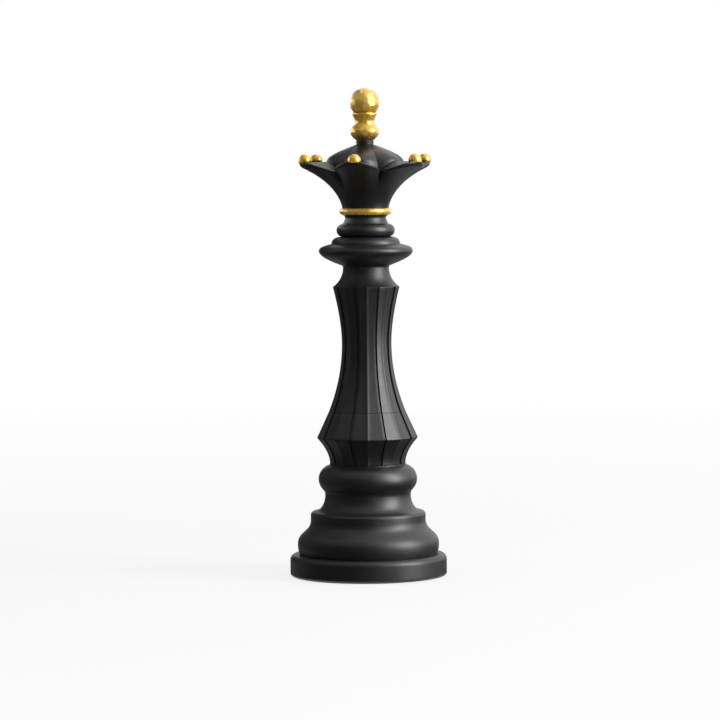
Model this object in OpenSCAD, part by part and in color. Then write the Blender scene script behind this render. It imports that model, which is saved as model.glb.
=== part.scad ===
// Chess queen, built as a stack of turned and cast sections on a tie rod.
// Millimetres, +Z up, origin on the floor under the middle of the piece, front towards -Y.

/* [Whole piece] */
// Height of the whole queen; the column takes up what the other sections leave of it
whole_h = 280; // [272:0.1:310]

/* [Foot pad] */
// How far the pad's edge stays inside the plinth's side
pad_margin = 5; // [3.5:0.1:12]
// Thickness of the pad
pad_t = 2; // [1.2:0.1:3]
// How far the pad stands below the plinth
pad_proud = 0.4; // [0.2:0.1:0.8]

/* [Plinth] */
// Diameter of the plinth
plinth_d = 90; // [88:1:110]
// Height of the plinth
plinth_h = 12.6; // [12.5:0.1:20]
// Rounding of the plinth's top edge
plinth_top_round = 3.2; // [1:0.1:3.4]
// Rounding of the plinth's bottom edge
plinth_bottom_round = 1.8; // [0.5:0.1:2.4]

/* [Base moulding] */
// Height from the plinth to the base bead
moulding_h = 34; // [32:0.1:45]
// Diameter where the moulding stands on the plinth
moulding_foot_d = 78.8; // [74:0.2:80]
// Largest diameter of the belly
belly_d = 81.2; // [80:0.2:84]
// Height of the widest part of the belly
belly_h = 6; // [4:0.1:8]
// Diameter of the upright step
step_d = 66; // [62:0.2:72]
// Height of the lower end of the step
step_foot_h = 19.5; // [17:0.1:21]
// Height of the top of the step
step_top_h = 24.5; // [23.5:0.1:26]
// Rounding of the step's top edge
step_round = 2; // [0.4:0.1:2.4]
// Diameter of the neck under the base bead
base_neck_d = 49.2; // [46:0.2:52]

/* [Base bead] */
// Height of the base bead
base_bead_h = 18.1; // [17.2:0.1:22]
// Largest diameter of the base bead
base_bead_d = 56.6; // [55:0.2:62]
// Radius of the base bead's round section
base_bead_round = 8.4; // [7.4:0.1:8.5]
// Diameter of the base bead where the column stands on it
base_bead_top_d = 43.6; // [42:0.2:46]

/* [Column] */
// Number of ribs round the column
column_ribs = 9; // [7:1:12]
// Width across flats at the column's foot
column_foot_w = 42.8; // [38:0.2:46]
// Width across flats at the lower arris
arris_w = 57.4; // [50:0.2:62]
// Height of the lower arris
arris_h = 15; // [12:0.1:20]
// Width across flats at the crease over the lower arris
crease_w = 43.6; // [38:0.2:48]
// Height of the crease
crease_h = 30; // [24:0.1:36]
// Width across flats at the waist
waist_w = 28; // [26:0.2:34]
// Distance from the column's top down to the waist
waist_drop = 32.6; // [24:0.1:40]
// Width across flats at the top of the column
column_top_w = 37.8; // [34:0.2:44]
// Width of the grooves between the ribs
groove_w = 2.4; // [0.8:0.1:3]
// Depth of the grooves
groove_d = 1.1; // [0.6:0.1:2]

/* [Column neck] */
// Height of the hollow neck over the column
neck_h = 10.9; // [10:0.1:16]
// Diameter of the neck where it stands on the column
neck_foot_d = 37.4; // [34:0.2:37.6]
// Smallest diameter of the neck
neck_waist_d = 26.4; // [24:0.2:30]

/* [Collar] */
// Height of the collar disc and its step
collar_h = 17.4; // [16:0.1:22]
// Diameter of the collar's rim
collar_d = 53.8; // [48:0.2:60]
// Height of the collar's rim
collar_rim_h = 9.4; // [8:0.1:11]
// Height of the foot of the step on the collar
collar_step_h = 13.4; // [12.4:0.1:14.4]
// Diameter of the step on the collar
collar_step_d = 39.4; // [36:0.2:42]
// Diameter of the collar's top face
collar_top_d = 30.4; // [28:0.2:33]

/* [Collar bead] */
// Height of the collar bead and its hollow neck
collar_bead_h = 12.6; // [12:0.1:16]
// Largest diameter of the collar bead
collar_bead_d = 33.4; // [32:0.2:38]
// Radius of the collar bead's round section
collar_bead_round = 3.7; // [3.2:0.1:4]
// Diameter of the hollow neck over the collar bead
cove_d = 23.4; // [22:0.2:25]
// Height of the narrowest part of the hollow neck
cove_h = 10.7; // [9.6:0.1:11.4]

/* [Neck ring] */
// Height of the gold ring
ring_h = 4; // [3:0.1:6]
// Diameter of the gold ring
ring_d = 29.8; // [28:0.2:34]
// Diameter of the ring's upper and lower edges
ring_edge_d = 26.6; // [25:0.2:27.6]

/* [Crown] */
// Turn of the first petal from the front, in degrees
crown_turn = -9.6; // [-30:0.1:30]
// Diameter over the tips of the petals
tip_d = 78.4; // [72:0.2:84]
// Height of the underside of the tips over the gold ring
tip_h = 23.5; // [22.4:0.1:28]
// Diameter across the notches between the petals
notch_d = 45; // [44:0.2:50]
// Height of the underside of the notches over the gold ring
notch_h = 20.2; // [18.5:0.1:22]
// Thickness of the rim in the notches
rim_t = 1; // [0.6:0.1:1.6]
// Thickness of the rim at the tips
tip_t = 3.2; // [2.8:0.1:4]
// Rounding of the rim's top edge
rim_round = 0.4; // [0.2:0.1:0.5]
// Diameter over the lobes of the dome
dome_d = 45.6; // [40:0.2:46]
// Depth of the creases between the lobes
dome_crease = 2.4; // [1.2:0.1:3]
// Diameter of the dome's neck
dome_neck_d = 9.8; // [9.6:0.1:12]
// Height of the foot of the dome's neck over the gold ring
dome_neck_h = 36.2; // [34:0.1:42]
// Length of the dome's neck
dome_neck_l = 1.9; // [1.6:0.1:5]

/* [Crown beads] */
// Diameter of a bead
crown_bead_d = 7.6; // [6:0.1:8.6]
// Diameter of the circle through the beads' middles
bead_circle_d = 73.2; // [66:0.2:74]
// Height of a bead's middle over the rim
bead_rise = 0.3; // [0.1:0.1:1.6]
// Depth that a bead's flat seat is sunk into the petal
bead_sink = 0.8; // [0.4:0.1:1]
// Diameter of a bead's peg
peg_d = 2; // [1.2:0.1:2.4]
// Length of a bead's peg
peg_l = 1.8; // [1:0.1:2]
// How far the peg stands inwards of the bead's middle
peg_inset = 2.2; // [1.6:0.1:2.4]

/* [Finial] */
// Height of the finial's stem
stem_h = 15.9; // [15:0.1:20]
// Diameter of the stem's foot
stem_foot_d = 10.8; // [10.4:0.1:14]
// Diameter of the stem's bulb
bulb_d = 16.8; // [14.6:0.1:20]
// Height of the widest part of the bulb
bulb_h = 4.8; // [4:0.1:6]
// Diameter of the stem's waist
stem_waist_d = 11.2; // [10.6:0.1:12.6]
// Height of the stem's waist
stem_waist_h = 10.5; // [9.4:0.1:11.6]
// Diameter of the lip under the ball
lip_d = 14.4; // [13:0.1:15]
// Height of the lip's rounded edge
lip_t = 2.2; // [1.4:0.1:2.6]
// Diameter of the ball
ball_d = 17; // [16:0.1:20]
// Height of the ball's middle over the stem
ball_rise = 5.4; // [4.6:0.1:6]
// Diameter of the ball's peg
ball_peg_d = 4; // [3:0.1:5]
// Length of the ball's peg
ball_peg_l = 2.2; // [1.4:0.1:2.4]

/* [Tie rod and fittings] */
// Diameter of the tie rod
rod_d = 5; // [4:0.1:5.2]
// Length of thread that the finial engages
thread_l = 8; // [6:0.1:8.4]
// Width across flats of the nut
nut_w = 8; // [7:0.1:10]
// Height of the nut
nut_h = 4; // [3:0.1:4.2]
// Diameter of the washer under the plinth
base_washer_d = 15; // [12:0.1:20]
// Thickness of the washer under the plinth
base_washer_t = 1.2; // [0.8:0.1:1.4]
// Thickness of the spring washer's wire
spring_washer_t = 1.3; // [0.8:0.1:1.4]
// Width of the spring washer's wire
spring_washer_w = 1.8; // [1:0.1:2.2]
// Length of rod past the nut
rod_end = 0.8; // [0.4:0.1:1]
// Wall of the finial's threaded bush
bush_wall = 0.95; // [0.8:0.05:1]
// Thickness of the finial's washer
finial_washer_t = 0.6; // [0.4:0.1:1]
// Width of the finial's washer
finial_washer_w = 1.3; // [0.9:0.1:1.4]
// Height of the flange that holds the finial's washer
flange_t = 0.5; // [0.3:0.1:0.6]
// Width of that flange
flange_w = 0.4; // [0.25:0.05:0.45]

/* [Ballast] */
// Diameter of the ballast ring
ballast_d = 54; // [40:0.5:58]
// Height of the ballast ring
ballast_h = 14; // [8:0.1:15]
// Bore of the ballast ring
ballast_bore_d = 16; // [8:0.5:24]

/* [Joints between sections] */
// Diameter of the spigot between the moulding and the base bead
base_spigot_d = 30; // [20:0.5:36]
// Diameter of the spigot between the base bead and the column
column_spigot_d = 24; // [16:0.5:30]
// Diameter of the spigots from the column's top to the coronet
neck_spigot_d = 18; // [12:0.5:20]
// Diameter of the spigot under the dome
dome_spigot_d = 24; // [16:0.5:30]
// Height of the spigots
spigot_h = 4; // [2:0.1:5]
// Height of the plinth's register in the moulding
register_h = 2; // [1:0.1:3]
// Radial clearance of spigots, pads and pegs
fit_gap = 0.15; // [0.05:0.01:0.3]
// Clearance at the blind ends of sockets
end_gap = 0.3; // [0.1:0.05:0.5]
// Radial clearance of the rod in its bores
rod_gap = 0.25; // [0.1:0.05:0.4]
// Radial clearance of threads, shown as plain cylinders
thread_gap = 0.05; // [0.02:0.01:0.08]
// Glue line between the dome and the coronet
glue_gap = 0.05; // [0.02:0.01:0.2]

/* [Hidden] */
// Number of petals on the crown, with a bead on each
petals = 6;
$fn = 96;

black = "#1f1f22";
gold = "#d9a93a";
steel = "#a9adb2";
iron = "#4a4a4c";
rubber = "#2b2b2b";
fibre = "#3a2a20";

// Heights over the gold ring of the tips' top and of the dome's top
crown_h = tip_h + tip_t;
dome_top_h = dome_neck_h + dome_neck_l;

// Height that the sections under and over the column leave for it
base_h = pad_proud + plinth_h + moulding_h + base_bead_h;
collar_part_h = neck_h + collar_h + collar_bead_h + ring_h;
finial_h = finial_washer_t + stem_h + ball_rise + ball_d / 2;
column_h = whole_h - base_h - collar_part_h - dome_top_h - finial_h;
waist_h = column_h - waist_drop;

// Levels of the stack, from the floor up
plinth_z = pad_proud;
moulding_z = plinth_z + plinth_h;
base_bead_z = moulding_z + moulding_h;
column_z = base_bead_z + base_bead_h;
neck_z = column_z + column_h;
collar_z = neck_z + neck_h;
collar_bead_z = collar_z + collar_h;
ring_z = collar_bead_z + collar_bead_h;
coronet_z = ring_z + ring_h;
washer_z = coronet_z + dome_top_h;
stem_z = washer_z + finial_washer_t;
ball_z = stem_z + stem_h + ball_rise;

// Pad, and the pocket for the nut in the underside of the plinth
pad_r = plinth_d / 2 - pad_margin;
recess_h = pad_t - pad_proud;
pocket_r = base_washer_d / 2 + end_gap;
pocket_h = base_washer_t + spring_washer_t + nut_h + rod_end + end_gap;
pocket_z = plinth_z + recess_h + pocket_h;

// Tie rod and what goes round it
rod_bore_r = rod_d / 2 + rod_gap;
thread_r = rod_d / 2 + thread_gap;
rod_z = pocket_z - base_washer_t - spring_washer_t - nut_h - rod_end;
rod_top_z = stem_z + thread_l - end_gap;
bush_r = thread_r + bush_wall;
flange_z = washer_z - end_gap / 3 - flange_t;
flange_r = bush_r + flange_w;
flange_pocket_r = flange_r + fit_gap;
flange_pocket_h = washer_z - flange_z + end_gap;

// Hollow in the moulding for the ballast and the plinth's register
hollow_r = ballast_d / 2 + end_gap;
hollow_h = register_h + ballast_h + end_gap;

// Angle from +X to the first petal, and the number of columns of points on a petal
first_petal = crown_turn - 90;
petal_columns = 12;
crown_columns = petals * petal_columns;

// Share of the rim's thickness that its edge stands out over the flare
rim_swell = 0.6;

// A point part of the way from a to b
function mix(a, b, t) = a + (b - a) * t;

// A point on the smooth curve that the control points p draw
function bezier(p, t) =
    len(p) == 1 ? p[0] : bezier([for (i = [0 : len(p) - 2]) mix(p[i], p[i + 1], t)], t);

// The smooth curve as n steps
function curve(p, n) = [for (i = [0 : n]) bezier(p, i / n)];

// A round stretch about a middle point, between two angles
function arc(c, r, from, to, n = 12) =
    [for (i = [0 : n]) let (a = mix(from, to, i / n)) c + r * [cos(a), sin(a)]];

// A quarter round that leaves p upright and comes level at q
function rise_to_level(p, q, n = 8) =
    [for (i = [0 : n]) let (a = 90 * i / n) [mix(p.x, q.x, 1 - cos(a)), mix(p.y, q.y, sin(a))]];

// A quarter round that leaves p level and comes upright at q
function level_to_rise(p, q, n = 8) =
    [for (i = [0 : n]) let (a = 90 * i / n) [mix(p.x, q.x, sin(a)), mix(p.y, q.y, 1 - cos(a))]];

// Half of a turned section: its outline, a socket [radius, depth] below and a spigot [radius, height] above
function section(outline, h, socket, spigot) = concat(
    [[rod_bore_r, socket[1]], [socket[0], socket[1]], [socket[0], 0]],
    outline,
    [[spigot[0], h], [spigot[0], h + spigot[1]], [rod_bore_r, h + spigot[1]]]
);

// A socket's radius and depth for a spigot of diameter d
function socket_for(d, h = spigot_h) = [d / 2 + fit_gap, h + end_gap];

module turned(z, points) {
    translate([0, 0, z]) rotate_extrude() polygon(points);
}

// A bore up the axis between two levels
module bore(r, from, to) {
    translate([0, 0, from]) cylinder(r = r, h = to - from);
}

// A tube on the axis
module tube(r_out, r_in, z, h) {
    turned(z, [[r_in, 0], [r_out, 0], [r_out, h], [r_in, h]]);
}

// A solid skinned over a stack of rings of n points each, from the lowest ring to the last.
// flip turns the diagonals, so that two skins can lie on each other.
module skinned(rings, flip = false) {
    n = len(rings[0]);
    last = len(rings) - 1;
    quads = [for (i = [0 : last - 1], j = [0 : n - 1])
        let (k = (j + 1) % n) [i * n + j, i * n + n + j, i * n + n + k, i * n + k]];
    sides = [for (q = quads, half = [0, 1])
        flip
            ? (half == 0 ? [q[0], q[1], q[3]] : [q[1], q[2], q[3]])
            : (half == 0 ? [q[0], q[1], q[2]] : [q[0], q[2], q[3]])];
    bottom = [for (j = [0 : n - 1]) j];
    top = [for (j = [n - 1 : -1 : 0]) last * n + j];
    polyhedron([for (ring = rings, p = ring) p], concat(sides, [bottom, top]));
}

module foot_pad() {
    color(rubber) cylinder(r = pad_r, h = pad_t);
}

module plinth() {
    r = plinth_d / 2;
    low = plinth_bottom_round;
    high = plinth_top_round;
    seat_r = pad_r + fit_gap;
    pocket_top = recess_h + pocket_h;
    register_r = hollow_r - fit_gap;
    color(black) turned(plinth_z, concat(
        [[rod_bore_r, pocket_top], [pocket_r, pocket_top], [pocket_r, recess_h]],
        [[seat_r, recess_h], [seat_r, 0]],
        level_to_rise([r - low, 0], [r, low]),
        rise_to_level([r, plinth_h - high], [r - high, plinth_h]),
        [[register_r, plinth_h], [register_r, plinth_h + register_h], [rod_bore_r, plinth_h + register_h]]
    ));
}

module base_washer() {
    color(steel) tube(base_washer_d / 2, rod_bore_r, pocket_z - base_washer_t, base_washer_t);
}

// A split ring: a small gap is left in the turn
module spring_washer() {
    split = 12;
    z = pocket_z - base_washer_t - spring_washer_t;
    color(steel) translate([0, 0, z]) rotate_extrude(angle = 360 - split)
        translate([rod_bore_r, 0]) square([spring_washer_w, spring_washer_t]);
}

module tie_nut() {
    z = rod_z + rod_end;
    color(steel) difference() {
        translate([0, 0, z]) cylinder(d = nut_w / cos(30), h = nut_h, $fn = 6);
        bore(thread_r, z - 1, z + nut_h + 1);
    }
}

module ballast_ring() {
    color(iron) tube(ballast_d / 2, ballast_bore_d / 2, moulding_z + register_h, ballast_h);
}

module base_moulding() {
    belly = [belly_d / 2, belly_h];
    step_r = step_d / 2;
    step_foot = [step_r, step_foot_h];
    ogee_h = (belly_h + step_foot_h) / 2;
    step_edge = step_r - step_round;
    outline = concat(
        curve([[moulding_foot_d / 2, 0], [belly.x, belly_h / 3], belly], 6),
        curve([belly, [belly.x, ogee_h], [step_r, ogee_h], step_foot], 16),
        rise_to_level([step_r, step_top_h - step_round], [step_edge, step_top_h], 5),
        level_to_rise([step_edge, step_top_h], [base_neck_d / 2, moulding_h], 12)
    );
    color(black) turned(moulding_z,
        section(outline, moulding_h, [hollow_r, hollow_h], [base_spigot_d / 2, spigot_h]));
}

module base_bead() {
    middle = [base_bead_d / 2 - base_bead_round, base_bead_h / 2];
    neck = [base_neck_d / 2, 0];
    from = -45;
    to = acos((base_bead_top_d / 2 - middle.x) / base_bead_round);
    side = middle + base_bead_round * [cos(from), sin(from)];
    turn = [neck.x, max(0, side.y + (side.x - neck.x) / tan(from))];
    outline = concat(
        [for (i = [0 : 5]) bezier([neck, turn, side], i / 6)],
        arc(middle, base_bead_round, from, to, 24),
        [[base_bead_top_d / 2, base_bead_h]]
    );
    color(black) turned(base_bead_z,
        section(outline, base_bead_h, socket_for(base_spigot_d), [column_spigot_d / 2, spigot_h]));
}

// The column's side view: half its width across flats against height
function column_outline() = let (
    foot = [column_foot_w / 2, 0],
    arris = [arris_w / 2, arris_h],
    crease = [crease_w / 2, crease_h],
    waist = [waist_w / 2, waist_h],
    top = [column_top_w / 2, column_h]
) concat(
    curve([foot, [foot.x, arris_h * 0.46], arris], 7),
    curve([crease, [waist.x, (crease_h + waist_h) / 2], waist], 12),
    [for (i = [1 : 8]) bezier([waist, [waist.x, mix(waist_h, column_h, 0.4)], top], i / 8)]
);

// One level of the column: ribs with a ridge in the middle and a groove between neighbours.
// The ridges and the grooves lie alternately on the corners of a polygon of flats.
function column_ring(flat, z) = let (
    pitch = 360 / column_ribs,
    r = flat / cos(pitch / 4),
    flat_w = 2 * r * sin(pitch / 4),
    shoulder = 1 - groove_w / 2 / flat_w
) [for (i = [0 : column_ribs - 1], p = let (
        a = -90 + pitch * i,
        ridge = r * [cos(a), sin(a)],
        corner = r * [cos(a + pitch / 2), sin(a + pitch / 2)],
        next = r * [cos(a + pitch), sin(a + pitch)]
    ) [ridge, mix(ridge, corner, shoulder), corner * (1 - groove_d / r), mix(next, corner, shoulder)])
    [p.x, p.y, z]];

module column() {
    color(black) translate([0, 0, column_z]) difference() {
        skinned([for (p = column_outline()) column_ring(p.x, p.y)]);
        bore(rod_bore_r, -1, column_h + 1);
        bore(column_spigot_d / 2 + fit_gap, -1, spigot_h + end_gap);
        bore(neck_spigot_d / 2 + fit_gap, column_h - spigot_h - end_gap, column_h + 1);
    }
}

module column_neck() {
    spigot_r = neck_spigot_d / 2;
    foot = [neck_foot_d / 2, 0];
    waist = [neck_waist_d / 2, neck_h];
    color(black) turned(neck_z, concat(
        [[rod_bore_r, -spigot_h], [spigot_r, -spigot_h], [spigot_r, 0]],
        curve([foot, [waist.x, neck_h * 0.4], waist], 12),
        [[spigot_r, neck_h], [spigot_r, neck_h + spigot_h], [rod_bore_r, neck_h + spigot_h]]
    ));
}

module collar_disc() {
    foot = [neck_waist_d / 2, 0];
    rim = [collar_d / 2, collar_rim_h];
    step = [collar_step_d / 2, collar_step_h];
    under = foot + [1.4, collar_rim_h / 7];
    outline = concat(
        curve([foot, [foot.x, under.y * 0.8], under], 4),
        curve([under, mix(under, [rim.x, under.y], 0.5) + [0, collar_rim_h / 4],
            [rim.x, rim.y * 0.67], rim], 14),
        curve([rim, [rim.x, mix(rim.y, step.y, 0.55)], [mix(step.x, rim.x, 0.65), mix(rim.y, step.y, 0.7)],
            step], 10),
        rise_to_level(step, [collar_top_d / 2, collar_h])
    );
    color(black) turned(collar_z,
        section(outline, collar_h, socket_for(neck_spigot_d), [neck_spigot_d / 2, spigot_h]));
}

module collar_bead() {
    round = collar_bead_round;
    middle = [collar_bead_d / 2 - round, round];
    crest = middle + round * [cos(80), sin(80)];
    cove = [cove_d / 2, cove_h];
    outline = concat(
        arc(middle, round, -70, 80, 16),
        [for (i = [1 : 6]) bezier([crest, [(crest.x + cove.x) / 2, crest.y], cove], i / 6)],
        [for (i = [1 : 6]) bezier([cove, [cove.x, mix(cove_h, collar_bead_h, 0.7)],
            [ring_edge_d / 2, collar_bead_h]], i / 6)]
    );
    color(black) turned(collar_bead_z,
        section(outline, collar_bead_h, socket_for(neck_spigot_d), [neck_spigot_d / 2, ring_h + spigot_h]));
}

module neck_ring() {
    inner_r = neck_spigot_d / 2 + fit_gap;
    edge_r = ring_edge_d / 2;
    half = ring_h / 2;
    bulge = ring_d / 2 - edge_r;
    color(gold) turned(ring_z, concat(
        [[inner_r, 0]],
        [for (i = [0 : 16]) let (a = mix(-90, 90, i / 16)) [edge_r + bulge * cos(a), half + half * sin(a)]],
        [[inner_r, ring_h]]
    ));
}

// How far column j of the crown's points lies from a notch (0) to the middle of a petal (1).
// In plan the cup swells softly between the notches low down (t = 0), while at the rim (t = 1)
// the petals are broad and the notches narrow. The rim falls steadily from tip to notch.
function petal(j) = sin(180 * (j % petal_columns) / petal_columns);
function petal_reach(j, t) = pow(petal(j), mix(1.4, 0.55, t * t));
function petal_lift(j) = pow(petal(j), 1.2);

// A crown point: column j, radius and height
function crown_point(j, p) = let (a = first_petal + 360 * j / crown_columns - 180 / petals)
    [p.x * cos(a), p.x * sin(a), p.y];

// One ring of the crown through a list of [radius, height], one for each column
function crown_ring(points) = [for (j = [0 : crown_columns - 1]) crown_point(j, points[j])];

// Thickness of the rim in each column, height of its top, and where the dome's edge stands on it
function rim_thick(j) = mix(rim_t, tip_t, petal_lift(j));
function rim_top(j) = mix(notch_h, tip_h, petal_lift(j)) + rim_thick(j);
function dome_edge(j) = dome_d / 2 - dome_crease * (1 - petal(j));

// Every column at one radius, at the rim's height plus a lift
function rim_ring(r, lift = 0) = crown_ring([for (j = [0 : crown_columns - 1]) [r, rim_top(j) + lift]]);
function dome_edge_ring(lift = 0) =
    crown_ring([for (j = [0 : crown_columns - 1]) [dome_edge(j), rim_top(j) + lift]]);

// The same radius and height in every column
function level_ring(r, z) = crown_ring([for (j = [0 : crown_columns - 1]) [r, z]]);

// The cup's outside flares from its foot along one curve to the tips and along another to the notches
function flare(t, j) = let (
    foot = [ring_edge_d / 2, 0],
    stand = [foot.x + 1.6, tip_h * 0.39],
    tip = [tip_d / 2 - rim_swell * tip_t, tip_h],
    notch = [notch_d / 2 - rim_swell * rim_t, notch_h],
    valley = bezier([foot, stand, [notch.x + 2, notch_h * 0.68], notch], t),
    crest = bezier([foot, stand, [mix(foot.x, tip.x, 0.39), tip_h * 0.7], tip], t)
) [mix(valley.x, crest.x, petal_reach(j, t)), mix(valley.y, crest.y, petal_lift(j))];

// The rim's edge turns up from the flare and is widest just under its top
function rim_edge(t, j) = let (thick = rim_thick(j), a = mix(20, 90, t)) flare(1, j) + [
    rim_swell * thick * (sin(a) - sin(20)) / (1 - sin(20)),
    (thick - rim_round) * (1 - cos(a) / cos(20))
];

function flare_ring(t) = crown_ring([for (j = [0 : crown_columns - 1]) flare(t, j)]);
function edge_ring(t) = crown_ring([for (j = [0 : crown_columns - 1]) rim_edge(t, j)]);

module coronet() {
    flare_steps = 12;
    core_r = dome_spigot_d / 2 * 0.8;
    seat_z = rim_t + notch_h;
    color(black) translate([0, 0, coronet_z]) difference() {
        skinned(concat(
            [for (i = [0 : flare_steps]) flare_ring(i / flare_steps)],
            [for (i = [1 : 4]) edge_ring(i / 4)],
            [crown_ring([for (j = [0 : crown_columns - 1]) [rim_edge(1, j).x - rim_round, rim_top(j)]])],
            [dome_edge_ring(), rim_ring(core_r), level_ring(core_r / 2, seat_z)]
        ));
        bore(rod_bore_r, -1, seat_z);
        bore(neck_spigot_d / 2 + fit_gap, -1, spigot_h + end_gap);
        bore(dome_spigot_d / 2 + fit_gap, seat_z - spigot_h - end_gap, crown_h + rim_t);
        for (i = [1 : petals]) at_tip(i) {
            bead_body(crown_bead_d / 2 + fit_gap / 3);
            bead_peg(peg_d / 2 + fit_gap, peg_l + end_gap);
        }
    }
}

// Where bead i sits, from the foot of the coronet
module at_tip(i) {
    rotate([0, 0, first_petal + 360 / petals * (i - 1)])
        translate([bead_circle_d / 2, 0, crown_h + bead_rise])
            children();
}

// A ball cut flat where it is let into the petal
module bead_body(r) {
    cut = -bead_rise - bead_sink;
    intersection() {
        sphere(r = r);
        translate([0, 0, cut]) cylinder(r = 2 * r, h = 3 * r);
    }
}

// The bead's peg, set inwards where the petal is thick
module bead_peg(r, l) {
    translate([-peg_inset, 0, -bead_rise - bead_sink - l]) cylinder(r = r, h = l + bead_sink);
}

module crown_bead(i) {
    color(gold) translate([0, 0, coronet_z]) at_tip(i) {
        bead_body(crown_bead_d / 2);
        bead_peg(peg_d / 2, peg_l);
    }
}

// The dome's side in column j: lobes that draw in to the neck
function dome_side(t, j) = let (
    neck_r = dome_neck_d / 2,
    edge = [dome_edge(j), rim_top(j) + glue_gap],
    shoulder_h = mix(crown_h, dome_neck_h, 0.35),
    draw_h = mix(crown_h, dome_neck_h, 0.7)
) bezier([edge, [edge.x, shoulder_h], [mix(neck_r, edge.x, 0.43), draw_h], [neck_r, dome_neck_h]], t);

function dome_ring(t) = crown_ring([for (j = [0 : crown_columns - 1]) dome_side(t, j)]);

module crown_dome() {
    dome_steps = 10;
    spigot_r = dome_spigot_d / 2;
    core_r = spigot_r * 0.8;
    seat_z = rim_t + notch_h;
    hidden_z = crown_h + 1;
    color(black) translate([0, 0, coronet_z]) difference() {
        union() {
            skinned(concat(
                [level_ring(core_r / 2, hidden_z), rim_ring(core_r, glue_gap)],
                [for (i = [0 : dome_steps]) dome_ring(i / dome_steps)],
                [level_ring(dome_neck_d / 2, dome_top_h)]
            ), true);
            translate([0, 0, seat_z - spigot_h])
                cylinder(r = spigot_r, h = hidden_z + 1 - seat_z + spigot_h);
        }
        bore(rod_bore_r, 0, dome_top_h + 1);
        bore(flange_pocket_r, dome_top_h - flange_pocket_h, dome_top_h + 1);
    }
}

module tie_rod() {
    color(steel) translate([0, 0, rod_z]) cylinder(d = rod_d, h = rod_top_z - rod_z);
}

module finial_washer() {
    inner_r = bush_r + thread_gap;
    color(fibre) tube(inner_r + finial_washer_w, inner_r, washer_z, finial_washer_t);
}

// A threaded bush with a flange that keeps the washer on the finial
module finial_insert() {
    h = stem_z + thread_l - flange_z;
    color(gold) turned(flange_z, [
        [thread_r, 0], [flange_r, 0], [flange_r, flange_t], [bush_r, flange_t], [bush_r, h], [thread_r, h]
    ]);
}

module finial_stem() {
    foot = [stem_foot_d / 2, 0];
    bulb = [bulb_d / 2, bulb_h];
    waist = [stem_waist_d / 2, stem_waist_h];
    sway_h = (bulb_h + stem_waist_h) / 2;
    lip_r = lip_d / 2;
    lip_round = lip_t / 2;
    lip = [lip_r - lip_round, stem_h - lip_round];
    lip_foot = lip + lip_round * [cos(25), -sin(25)];
    bush_hole_r = bush_r + thread_gap;
    bush_hole_h = thread_l + end_gap;
    outline = concat(
        curve([foot, mix(foot, [bulb.x, bulb_h * 0.63], 0.6), [bulb.x, bulb_h * 0.6], bulb], 8),
        curve([bulb, [bulb.x, sway_h], [waist.x, sway_h], waist], 14),
        [for (i = [1 : 7]) bezier([waist, [waist.x, mix(waist.y, lip_foot.y, 0.36)], lip_foot], i / 8)],
        arc(lip, lip_round, -25, 90, 8)
    );
    color(gold) difference() {
        turned(stem_z, concat(
            [[bush_hole_r, 0]], outline,
            [[0, stem_h], [0, bush_hole_h], [bush_hole_r, bush_hole_h]]
        ));
        translate([0, 0, ball_z]) sphere(d = ball_d + 2 * thread_gap);
        bore(ball_peg_d / 2 + thread_gap, ball_z - ball_d / 2 - ball_peg_l - end_gap, ball_z);
    }
}

module finial_ball() {
    color(gold) translate([0, 0, ball_z]) {
        sphere(d = ball_d);
        translate([0, 0, -ball_d / 2 - ball_peg_l]) cylinder(d = ball_peg_d, h = ball_peg_l + ball_d / 4);
    }
}

foot_pad();
plinth();
base_washer();
spring_washer();
tie_nut();
ballast_ring();
base_moulding();
base_bead();
column();
column_neck();
collar_disc();
collar_bead();
neck_ring();
coronet();
for (i = [1 : petals])
    crown_bead(i);
crown_dome();
tie_rod();
finial_washer();
finial_insert();
finial_stem();
finial_ball();
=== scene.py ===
import math
import bpy
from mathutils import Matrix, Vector, noise


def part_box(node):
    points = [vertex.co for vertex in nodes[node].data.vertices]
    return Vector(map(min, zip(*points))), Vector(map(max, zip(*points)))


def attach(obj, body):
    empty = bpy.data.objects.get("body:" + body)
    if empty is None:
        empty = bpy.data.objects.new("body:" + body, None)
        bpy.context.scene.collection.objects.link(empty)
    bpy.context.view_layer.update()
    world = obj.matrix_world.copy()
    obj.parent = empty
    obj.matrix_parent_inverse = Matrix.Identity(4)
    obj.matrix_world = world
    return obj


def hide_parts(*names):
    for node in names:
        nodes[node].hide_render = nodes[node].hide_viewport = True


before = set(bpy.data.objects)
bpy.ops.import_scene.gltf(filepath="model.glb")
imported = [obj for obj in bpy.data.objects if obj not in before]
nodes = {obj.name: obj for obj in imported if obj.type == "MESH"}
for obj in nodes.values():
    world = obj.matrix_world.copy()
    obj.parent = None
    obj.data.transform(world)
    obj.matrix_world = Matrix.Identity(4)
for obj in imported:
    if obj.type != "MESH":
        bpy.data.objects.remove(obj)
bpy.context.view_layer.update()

scene = bpy.context.scene
mm = 0.001
print("frame loaded,", len(nodes), "nodes")


# small geometry helpers, all in millimetres until a mesh is made

def mixPoint(a, b, t):
    return tuple(u + (v - u) * t for u, v in zip(a, b))


def mixValue(a, b, t):
    return a + (b - a) * t


def bezierPoint(points, t):
    while len(points) > 1:
        points = [mixPoint(a, b, t) for a, b in zip(points, points[1:])]
    return points[0]


def bezierLine(points, steps):
    return [bezierPoint(points, i / steps) for i in range(steps + 1)]


def arcLine(middle, radius, startDeg, endDeg, steps):
    angles = [math.radians(mixValue(startDeg, endDeg, i / steps)) for i in range(steps + 1)]
    return [(middle[0] + radius * math.cos(a), middle[1] + radius * math.sin(a)) for a in angles]


cornerShape = {"steps": 5, "share": 0.45}


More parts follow.
